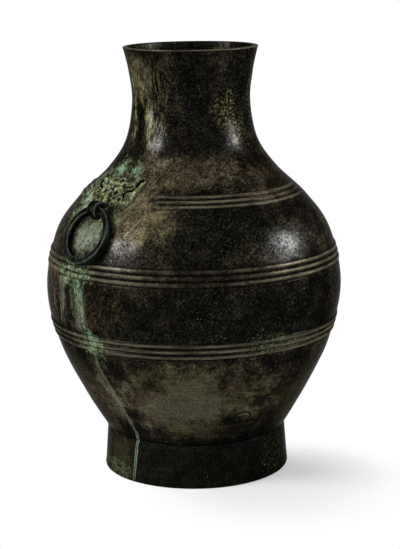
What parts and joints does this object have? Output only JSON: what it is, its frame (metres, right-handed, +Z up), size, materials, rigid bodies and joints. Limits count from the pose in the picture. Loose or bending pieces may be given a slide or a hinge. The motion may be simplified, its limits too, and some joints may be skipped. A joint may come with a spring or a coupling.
{
  "type": "bronze hu vase",
  "caption": "Round-bellied bronze storage vase with flared neck, raised rib bands, high foot ring and free ring handles hung from animal masks on the shoulder.",
  "frame": {"origin": "centre of the foot ring's underside", "axes": "+Z up the vase's axis of revolution, +X through the right mask and its ring handle, -X through the left mask"},
  "size_m": [0.2498, 0.2442, 0.35],
  "materials": {
    "bronze": "dark brown patinated bronze, smooth, with olive and green mottling",
    "green_bronze": "worn, pitted bronze with green corrosion",
    "dark_bronze": "blackened bronze, worn smooth on its edges"
  },
  "bodies": {
    "vessel": {"vessel_body": "bronze", "foot_ring": "bronze", "casting_patch": "bronze", "mask_left": "green_bronze", "mask_right": "green_bronze", "nose_loop_left": "dark_bronze", "nose_loop_right": "dark_bronze"},
    "ring_left": {"ring_left": "dark_bronze"},
    "ring_right": {"ring_right": "dark_bronze"}
  },
  "joints": [
    {"name": "ring_left_swing", "type": "hinge", "parent": "vessel", "child": "ring_left", "pos_m": [-0.10035, 0, 0.22801], "axis": [0, 1, 0], "range_deg": [0, 195]},
    {"name": "ring_right_swing", "type": "hinge", "parent": "vessel", "child": "ring_right", "pos_m": [0.10035, 0, 0.22801], "axis": [0, -1, 0], "range_deg": [0, 195]}
  ]
}
